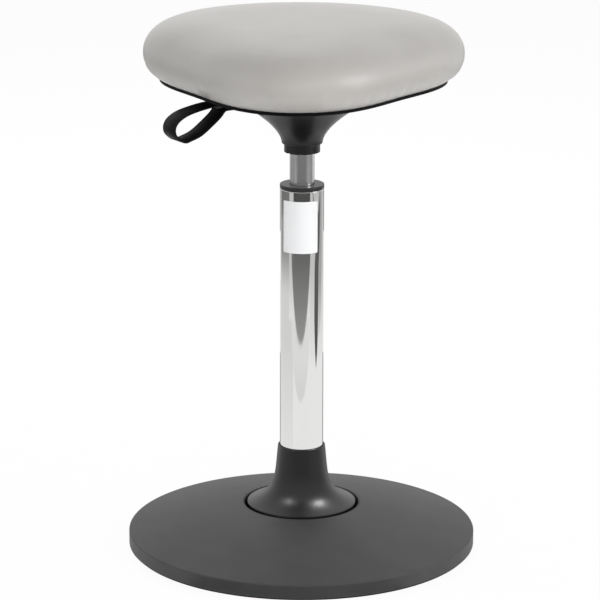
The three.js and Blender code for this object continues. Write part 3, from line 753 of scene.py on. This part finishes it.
cone_inside = [point for point in cone_line(cone_wall, 24) if point[0] > cone_bore + cone_room]
satin_black = satin_plastic()
cone = turned("hub_cone_moulding", [
    *rounded([
        (cone_bore, cone_high.z - cone_lip_depth),
        (cone_bore, cone_high.z, cone_rim_edge),
        (cone_lip, cone_high.z, cone_lip_edge),
        (cone_lip + cone_lip_lean, cone_high.z - cone_lip_depth),
    ])[1:-1],
    *cone_line(0, 40)[1:-1],
    *rounded([
        (cone_radius - cone_foot_run, cone_foot + cone_foot_rise),
        (cone_radius, cone_foot - cone_rim_edge, cone_rim_edge),
        (cone_radius, cone_low.z, cone_foot_edge),
        (cone_radius - cone_wall, cone_low.z),
    ])[1:],
    *reversed(cone_inside[:-1]),
    (cone_bore, cone_inside[0][1]),
], satin_black, steps=160)
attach(cone, "column")
# The flags: the overhead lamps light the cone alone, and the low one lights all but the cone.
for lamp, state in ((spot_right, "INCLUDE"), (spot_left, "INCLUDE"), (low_right, "EXCLUDE")):
    flag = bpy.data.collections.new(f"{lamp.name}_flag")
    flag.objects.link(cone)
    flag.collection_objects[0].light_linking.link_state = state
    lamp.light_linking.receiver_collection = flag
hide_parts("hub_cone")


# Thrust bearing: two hardened washers with a brass cage of balls between them. It carries the
# sitter's weight and lets the seat swivel.
def ground_steel():
    """Ground steel: bright, with fine rings left by the wheel."""
    return surface(
        "ground_steel", "#b4b6b8", 0.25, 1.5 * MM, metallic=1.0, stretch=(1, 1, 6),
        shine=(0.2, 0.34),
    )[0]


def turned_brass():
    """Turned brass: warm, with a fine tool mark."""
    return surface(
        "turned_brass", "#b5935a", 0.3, 1 * MM, metallic=1.0, stretch=(1, 1, 8),
        tones=("#967542", "#d2ae70"), shine=(0.24, 0.4),
    )[0]


steel = ground_steel()
brass = turned_brass()
dress("bearing_washer_lower", steel)
dress("ball_cage", brass)
dress("bearing_washer_upper", steel)

# Gas spring: the piston rod stands on the bearing, held by a clip, with a rubber bumper round its
# foot. The cylinder with its pressure tube, gland, seal and valve slides up and down over it.
dress("piston_rod", steel)
dress("rod_clip", zinc)
dress("bump_ring", rubber)
dress("piston", brass)
dress("pressure_tube", steel)
dress("rod_gland", bearing_plastic)
dress("rod_seal", rubber)
dress("valve_body", brass)
dress("valve_pin", steel)


def ground_chrome():
    """Hard chrome over ground steel: greyer and softer than the tube's, for the bush to run on."""
    return surface(
        "ground_chrome", "#cbcbcb", 0.2, 1.2 * MM, metallic=1.0, stretch=(1, 1, 10),
        shine=(0.16, 0.24),
    )[0]


cylinder_low, cylinder_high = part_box("cylinder")
cylinder_radius = cylinder_high.x
cylinder_wall = 1.6 * MM
cylinder_crimp = 3.4 * MM
cylinder_bore = cylinder_radius - cylinder_wall
cylinder_mouth = 3.9 * MM
taper_length = 44 * MM
taper_drop = 0.6 * MM
end_wall = 3 * MM
cylinder_foot_edge = 1.5 * MM
cylinder_head_edge = 0.6 * MM
cylinder = turned("gas_cylinder", rounded([
    (cylinder_bore - cylinder_crimp, cylinder_low.z),
    (cylinder_radius, cylinder_low.z, cylinder_foot_edge),
    (cylinder_radius, cylinder_high.z - taper_length),
    (cylinder_radius - taper_drop, cylinder_high.z, cylinder_head_edge),
    (cylinder_mouth, cylinder_high.z),
    (cylinder_mouth, cylinder_high.z - end_wall),
    (cylinder_bore - taper_drop, cylinder_high.z - end_wall),
    (cylinder_bore - taper_drop, cylinder_high.z - taper_length),
    (cylinder_bore, cylinder_high.z - taper_length - taper_drop),
    (cylinder_bore, cylinder_low.z + cylinder_wall),
    (cylinder_bore - cylinder_crimp, cylinder_low.z + cylinder_wall),
]), ground_chrome())
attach(cylinder, "seat")
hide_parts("cylinder")

# Seat housing: a welded steel pressing with the tapered socket that the gas spring wedges into.
# The lever's pin goes through it.
broken_edge = 0.3 * MM
dress("seat_housing", black_coat, broken_edge)
dress("lever_pin", steel)

# Collar: a small black ring clipped round the socket under the trumpet, with notches round its
# lower edge that a tool can grip.
collar_low, collar_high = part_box("collar_ring")
collar_radius = collar_high.x
collar_bore = 17.3 * MM
notch_count = 8
notch_depth = 1.2 * MM
notch_half_width = 1.5 * MM
collar_edge = 0.5 * MM


def notch_spread(angle):
    """The collar's lower part is drawn in at its notches."""
    turn = (angle * notch_count / (2 * math.pi) + 0.5) % 1 - 0.5
    aside = abs(turn) * 2 * math.pi / notch_count * collar_radius
    return 1 - notch_depth / collar_radius if aside < notch_half_width else 1


collar = turned("collar", rounded([
    (collar_bore, collar_low.z),
    (collar_radius, collar_low.z, collar_edge),
    (collar_radius, collar_high.z, collar_edge),
    (collar_bore, collar_high.z),
]), satin_black, steps=192)
notch_top = collar_low.z + (collar_high.z - collar_low.z) * 2 / 3
for corner in collar.data.vertices:
    if corner.co.z < notch_top and corner.co.xy.length > collar_bore + notch_depth:
        angle = math.atan2(corner.co.x, -corner.co.y)
        corner.co.xy *= notch_spread(angle)
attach(collar, "seat")
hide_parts("collar_ring")

# Trumpet cover: a flared cover of the same satin black plastic that hides the housing. A notch in
# its rim lets the lever out at the front left.
trumpet_low, trumpet_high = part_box("trumpet_cover")
trumpet_foot_radius = 23 * MM
trumpet_rim_radius = 90 * MM
trumpet_flare = 73.3 * MM
trumpet_flare_power = 1.71
trumpet_wall = 2.2 * MM
trumpet_solid = 3
trumpet_foot_rise = 3 * MM
trumpet_foot_lean = 0.5 * MM
trumpet_foot_edge = 0.8 * MM
lever_heading = math.radians(217.5)
lever_along = Vector((math.cos(lever_heading), math.sin(lever_heading), 0))
lever_across = Vector((-math.sin(lever_heading), math.cos(lever_heading), 0))


def trumpet_line(depth, steps=36):
    """The trumpet's side, up its flare to its straight rim, moved in by a depth."""
    flare_end = ((trumpet_rim_radius - trumpet_foot_radius) / trumpet_flare) ** (1 / trumpet_flare_power)
    line = []
    for i in range(1, steps + 1):
        share = flare_end * i / steps
        height = trumpet_low.z + (trumpet_high.z - trumpet_low.z) * share
        line.append((trumpet_foot_radius + trumpet_flare * share ** trumpet_flare_power - depth, height))
    line.append((trumpet_rim_radius - depth, trumpet_high.z))
    return line


def settle(piece):
    """Takes what a piece's modifiers make as its own mesh."""
    settled = bpy.data.meshes.new_from_object(piece.evaluated_get(bpy.context.evaluated_depsgraph_get()))
    piece.modifiers.clear()
    old = piece.data
    piece.data = settled
    bpy.data.meshes.remove(old)


def cut_by(piece, tool):
    """Cuts a tool's shape out of a piece, and removes the tool."""
    cutting = piece.modifiers.new("cut", "BOOLEAN")
    cutting.object = tool
    cutting.solver = "EXACT"
    settle(piece)
    bpy.data.objects.remove(tool)
    smooth(piece)


def bar_along_lever(name, start, end, half_width, low, high):
    """A plain bar along the lever, for cutting."""
    points = []
    for reach in (start, end):
        for aside in (-half_width, half_width):
            for height in (low, high):
                place = lever_along * reach + lever_across * aside
                points.append((place.x, place.y, height))
    faces = [(0, 1, 3, 2), (4, 5, 7, 6), (0, 1, 5, 4), (2, 3, 7, 6), (0, 2, 6, 4), (1, 3, 7, 5)]
    return new_piece(name, points, faces, satin_black)


# The flare leans by about 45 degrees, so its wall is thicker measured across.
trumpet_inside = trumpet_line(trumpet_wall * math.sqrt(2))[trumpet_solid:]
trumpet = turned("trumpet", [
    *rounded([
        (collar_bore, trumpet_low.z + trumpet_foot_rise),
        (collar_bore, trumpet_low.z),
        (trumpet_foot_radius, trumpet_low.z, trumpet_foot_edge),
        (trumpet_foot_radius + trumpet_foot_lean, trumpet_low.z + trumpet_foot_rise),
    ])[1:-1],
    *trumpet_line(0)[1:],
    *reversed(trumpet_inside),
    (collar_bore, trumpet_inside[0][1]),
], satin_black, steps=192)
notch_start = 38.3 * MM
notch_end = 91 * MM
notch_half = 7 * MM
notch_floor = 512.8 * MM
notch_past = 1 * MM
cut_by(trumpet, bar_along_lever(
    "lever_notch", notch_start, notch_end, notch_half, notch_floor, trumpet_high.z + notch_past,
))
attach(trumpet, "seat")
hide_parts("trumpet_cover")

# Seat outline: a triangle with very round corners, one of them to the front. The pan, the board and
# the cushion all follow it.
seat_radius = 175.2 * MM
length_lobe = 1.7 * MM
corner_lobe = 14.5 * MM
square_lobe = 5 * MM


def seat_spread(angle):
    """How far the seat's edge stands out, as a share of its mean, by the angle from the front."""
    lobes = length_lobe * math.cos(2 * angle) + corner_lobe * math.cos(3 * angle)
    return 1 + (lobes + square_lobe * math.cos(4 * angle)) / seat_radius


# Seat pan: a black moulded tray screwed under the board, in a dull finish. It closes the cushion's
# underside, and its rim laps round the cushion's foot and shows as a thin dark line.
def dull_plastic():
    """Black polypropylene from a grained mould: it hardly shines."""
    material, shader = surface(
        "dull_plastic", "#060607", 0.6, 0.8 * MM, shine=(0.52, 0.7), relief=0.04 * MM,
    )
    shader.inputs["Specular IOR Level"].default_value = 0.1
    return material


pan_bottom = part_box("seat_pan")[0].z
under_inset = 29.2 * MM
pan_lap = 11 * MM
pan_edge_radius = seat_radius - under_inset + pan_lap
pan_flat_radius = 92 * MM
pan_rise = 5.8 * MM
pan_rim_height = 545.6 * MM
pan_wall = 2.5 * MM
pan_hole = 40 * MM
pan_fillet = 0.6 * MM
pan_lip_edge = 0.4 * MM
pan_lip_slope = 0.6 * MM


def pan_line(lift, steps=10):
    """The pan's underside from the trumpet to near its rim, lifted by a height."""
    line = []
    for i in range(steps + 1):
        share = i / steps
        reach = pan_flat_radius + (pan_edge_radius - pan_flat_radius) * share
        line.append((reach, pan_bottom + pan_rise * share ** 2 + lift))
    return line


pan = turned("pan_moulding", [
    (pan_hole, pan_bottom),
    *pan_line(0)[:-1],
    *rounded([
        pan_line(0)[-2],
        (pan_edge_radius, pan_bottom + pan_rise, pan_fillet),
        (pan_edge_radius, pan_rim_height, pan_lip_edge),
        (pan_edge_radius - pan_wall, pan_rim_height - pan_lip_slope, pan_lip_edge),
        (pan_edge_radius - pan_wall, pan_bottom + pan_rise + pan_wall),
    ])[1:-1],
    *reversed([(min(r, pan_edge_radius - pan_wall), z) for r, z in pan_line(pan_wall)]),
    (pan_hole, pan_bottom + pan_wall),
], dull_plastic(), steps=192, spread=seat_spread)
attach(pan, "seat")
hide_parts("seat_pan")
for number in range(1, 4):
    dress(f"pan_screw_{number}", black_coat, broken_edge)


# Seat board: birch plywood cut to the seat's outline, with four tee nuts for the housing's screws.
# The foam is glued to it, and the cover is stapled round its edge.
def plywood():
    """Birch plywood: pale, with a long soft grain."""
    return surface(
        "plywood", "#c5a070", 0.6, 4 * MM, detail=5, stretch=(1, 0.08, 1),
        tones=("#9e7344", "#e8ca9a"), relief=0.05 * MM,
    )[0]


dress("seat_board", plywood())
for number in range(1, 5):
    dress(f"seat_screw_{number}", zinc)
    dress(f"tee_nut_{number}", zinc)


# Cushion: moulded foam in a cover of coated fabric, drawn tight over the crown, tucked in under the
# waist and stapled. It is one smooth light grey form with a soft shine and small puckers at its foot.
def coated_fabric():
    """Light grey coated upholstery fabric: a fine pebble, a soft shine, slight unevenness in both."""
    material, shader = surface(
        "coated_fabric", "#b3b0ac", 0.45, 1.1 * MM, detail=3, tones=("#adaaa6", "#b9b6b2"),
        tone_size=45 * MM, shine=(0.4, 0.5), relief=0.035 * MM,
    )
    shader.inputs["Coat Weight"].default_value = 0.7
    shader.inputs["Coat Roughness"].default_value = 0.4
    return material


cushion_low, cushion_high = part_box("seat_cover")
seat_waist = 573.5 * MM
crown_height = cushion_high.z - seat_waist
crown_power = 6.4
crown_round = 1.98
row_power = 0.7
under_drop = seat_waist - cushion_low.z
swell = 2.4 * MM
most_travel = 3 * MM
stapled_height = cushion_low.z + 6 * MM
free_above = 10 * MM
cloth_frames = 20
evening_rounds = 24


def cushion_outline(under_steps, crown_steps):
    """The outline before the foam pushes, from the middle of the underside round to the top.

    The crown still lies lower by the swell.
    """
    line = [(0, cushion_low.z)]
    for i in range(under_steps + 1):
        turn = math.pi / 2 * (1 - i / under_steps)
        radius = seat_radius - under_inset + under_inset * math.cos(turn)
        line.append((radius, seat_waist - under_drop * math.sin(turn)))
    for i in range(1, crown_steps + 1):
        share = math.cos(math.pi / 2 * i / crown_steps) ** row_power if i < crown_steps else 0
        rise = (crown_height - swell) * (1 - share ** crown_power) ** (1 / crown_round)
        line.append((seat_radius * share, seat_waist + rise))
    return line


def blow_up(piece, most):
    """Lets the foam push the cover out: a pressure run of the cloth, each point moved at most so far.

    The cover is stapled at its foot, so it is held there. Each point's travel is then evened out with
    its neighbours', as the foam behind the cover does.
    """
    rest = [corner.co.copy() for corner in piece.data.vertices]
    held = piece.vertex_groups.new(name="held")
    for i, place in enumerate(rest):
        hold = (stapled_height + free_above - place.z) / free_above
        if hold > 0:
            held.add([i], min(1, hold), "REPLACE")
    cloth = piece.modifiers.new("cover", "CLOTH")
    cloth.settings.use_pressure = True
    cloth.settings.uniform_pressure_force = 4
    cloth.settings.effector_weights.gravity = 0
    cloth.settings.vertex_group_mass = held.name
    cloth.settings.bending_stiffness = 20
    cloth.point_cache.frame_start = 1
    cloth.point_cache.frame_end = cloth_frames
    for step in range(1, cloth_frames + 1):
        bpy.context.scene.frame_set(step)
    blown = piece.evaluated_get(bpy.context.evaluated_depsgraph_get())
    moved = [corner.co.copy() for corner in blown.data.vertices]
    piece.modifiers.clear()
    piece.vertex_groups.clear()
    bpy.context.scene.frame_set(1)
    travels = [end - start for start, end in zip(rest, moved)]
    travels = [travel * (most / max(travel.length, most)) for travel in travels]
    neighbours = [[] for _ in rest]
    for edge in piece.data.edges:
        first, second = edge.vertices
        neighbours[first].append(second)
        neighbours[second].append(first)
    for _ in range(evening_rounds):
        travels = [
            sum((travels[i] for i in near), travel) / (1 + len(near))
            for travel, near in zip(travels, neighbours)
        ]
    for corner, start, travel in zip(piece.data.vertices, rest, travels):
        corner.co = start + travel


def pucker(piece):
    """Small folds where the tight cover is drawn under the seat, fading out up the side."""
    reach = 22 * MM
    depth = 0.35 * MM
    fade_power = 1.5
    foot_from = seat_radius * 0.75
    waves = [(47, 1, 0), (31, 0.7, 1.3), (83, 0.5, 0.4)]
    for corner in piece.data.vertices:
        up = (corner.co.z - cushion_low.z) / reach
        if up > 1 or corner.co.xy.length < foot_from:
            continue
        angle = math.atan2(corner.co.x, -corner.co.y)
        folds = sum(size * math.sin(count * angle + start) for count, size, start in waves)
        out = corner.co.xy.normalized()
        corner.co.xy += out * (depth * folds * math.sin(math.pi * max(0, up)) ** fade_power)


def make_cushion():
    """The foam and its cover as one form, blown up. The room under it for the board is cut after."""
    piece = turned("cushion", cushion_outline(10, 20), coated_fabric(), steps=144, spread=seat_spread)
    remesh = piece.modifiers.new("even_mesh", "REMESH")
    remesh.mode = "VOXEL"
    remesh.voxel_size = 5 * MM
    settle(piece)
    blow_up(piece, most_travel)
    finer = piece.modifiers.new("finer", "SUBSURF")
    finer.levels = 1
    settle(piece)
    pucker(piece)
    smooth(piece, sharp_above=60)
    return piece


cushion = make_cushion()
board_low, board_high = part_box("seat_board")
board_inset = 1.5 * MM
hem_inset = 22 * MM
board_radius = seat_radius - under_inset - board_inset
hem_radius = seat_radius - under_inset - hem_inset
clearance = 0.3 * MM
cut_past = 5 * MM
cut_by(cushion, turned("board_room", [
    (0, cushion_low.z - cut_past),
    (hem_radius, cushion_low.z - cut_past),
    (hem_radius, board_low.z - clearance),
    (board_radius + clearance, board_low.z - clearance),
    (board_radius + clearance, board_high.z + clearance),
    (0, board_high.z + clearance),
], satin_black, steps=96, spread=seat_spread))
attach(cushion, "seat")
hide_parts("seat_cover", "seat_foam")

# Release lever: a cranked flat steel bar, powder coated, that turns on the housing's pin and presses
# the valve.
lever_edge = 0.4 * MM
dress("release_lever", black_coat, lever_edge)


# Pull strap: one band of black leather folded into a hanging loop, its ends riveted over and under
# the lever's tab. The edges are dyed, and a creased line runs along each.
def black_leather():
    """Black dyed leather: a fine grain and a waxed shine."""
    material, shader = surface(
        "black_leather", "#0d0d0e", 0.5, 0.8 * MM, detail=4, tones=("#060605", "#171719"),
        shine=(0.42, 0.6), relief=0.05 * MM,
    )
    shader.inputs["Specular IOR Level"].default_value = 0.1
    return material


strap_width = 25 * MM
strap_thickness = 2.4 * MM
strap_start = 96 * MM
strap_reach = 176.5 * MM
strap_drop = 37 * MM
lever_thickness = 3.5 * MM
rivet_reach = 104 * MM
rivet_head_radius = 4.5 * MM
lever_tab_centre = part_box("release_lever")[1].z - lever_thickness / 2
strap_leaf = lever_thickness / 2 + clearance + strap_thickness / 2
# The loop's middle line, as shares of the strap's reach and of its drop.
strap_loop_shares = [
    (0, 0), (0.21, 0), (0.447, 0.031), (0.746, 0.147), (0.908, 0.3), (0.985, 0.491), (0.983, 0.72),
    (0.9, 0.91), (0.82, 0.985), (0.75, 0.96), (0.566, 0.829), (0.364, 0.539), (0.25, 0.345),
    (0.193, 0.212),
]


def strap_route():
    """The strap's middle line as (reach, height) points, from the top leaf round to the lower one."""
    route = [
        Vector((strap_start + (strap_reach - strap_start) * along, strap_leaf - strap_drop * down))
        for along, down in strap_loop_shares
    ]
    return [
        *route,
        Vector((rivet_reach + rivet_head_radius, -strap_leaf)),
        Vector((strap_start, -strap_leaf)),
    ]


def along_route(route, share):
    """A point on the smooth curve through a route's points."""
    place = (len(route) - 1) * share
    i = min(int(place), len(route) - 2)
    t = place - i
    before = route[max(0, i - 1)]
    start = route[i]
    end = route[i + 1]
    after = route[min(len(route) - 1, i + 2)]
    leaving = (end - before) / 2
    arriving = (after - start) / 2
    return (
        (2 * start - 2 * end + leaving + arriving) * t ** 3
        + (-3 * start + 3 * end - 2 * leaving - arriving) * t ** 2
        + leaving * t + start
    )


def strap_section():
    """The strap's cross-section as (across, out) points: round edges, and a crease near each."""
    half = strap_width / 2
    thick = strap_thickness / 2
    crease = 2 * MM
    crease_half = 0.5 * MM
    crease_depth = 0.35 * MM
    edge = [
        (half - thick + thick * math.sin(math.pi * i / 8), thick * math.cos(math.pi * i / 8))
        for i in range(9)
    ]
    creased = [
        (half - crease + crease_half, -thick),
        (half - crease, -thick + crease_depth),
        (half - crease - crease_half, -thick),
    ]
    right = [*[(a, -o) for a, o in reversed(creased)], *edge, *creased]
    left = [(-a, -o) for a, o in right]
    return [*right, (0, -thick), *left, (0, thick)]


def make_strap():
    """The band swept along its route, closed at both cut ends."""
    route = strap_route()
    section = strap_section()
    steps = 120
    a_little = 1e-4
    points = []
    for step in range(steps + 1):
        share = step / steps
        place = along_route(route, share)
        ahead = along_route(route, min(1, share + a_little))
        behind = along_route(route, max(0, share - a_little))
        heading = (ahead - behind).normalized()
        out = Vector((-heading.y, heading.x))
        for across, lift in section:
            spot = place + out * lift
            where = lever_along * spot.x + lever_across * across
            points.append((where.x, where.y, lever_tab_centre + spot.y))
    wide = len(section)
    faces = []
    for step in range(steps):
        for i in range(wide):
            here = step * wide + i
            beside = step * wide + (i + 1) % wide
            faces.append([here, beside, beside + wide, here + wide])
    faces.append(list(range(wide)))
    faces.append(list(range(steps * wide, (steps + 1) * wide)))
    return new_piece("leather_strap", points, faces, black_leather())


strap = make_strap()
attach(strap, "lever")
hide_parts("pull_strap")
dress("strap_rivet", steel, broken_edge)
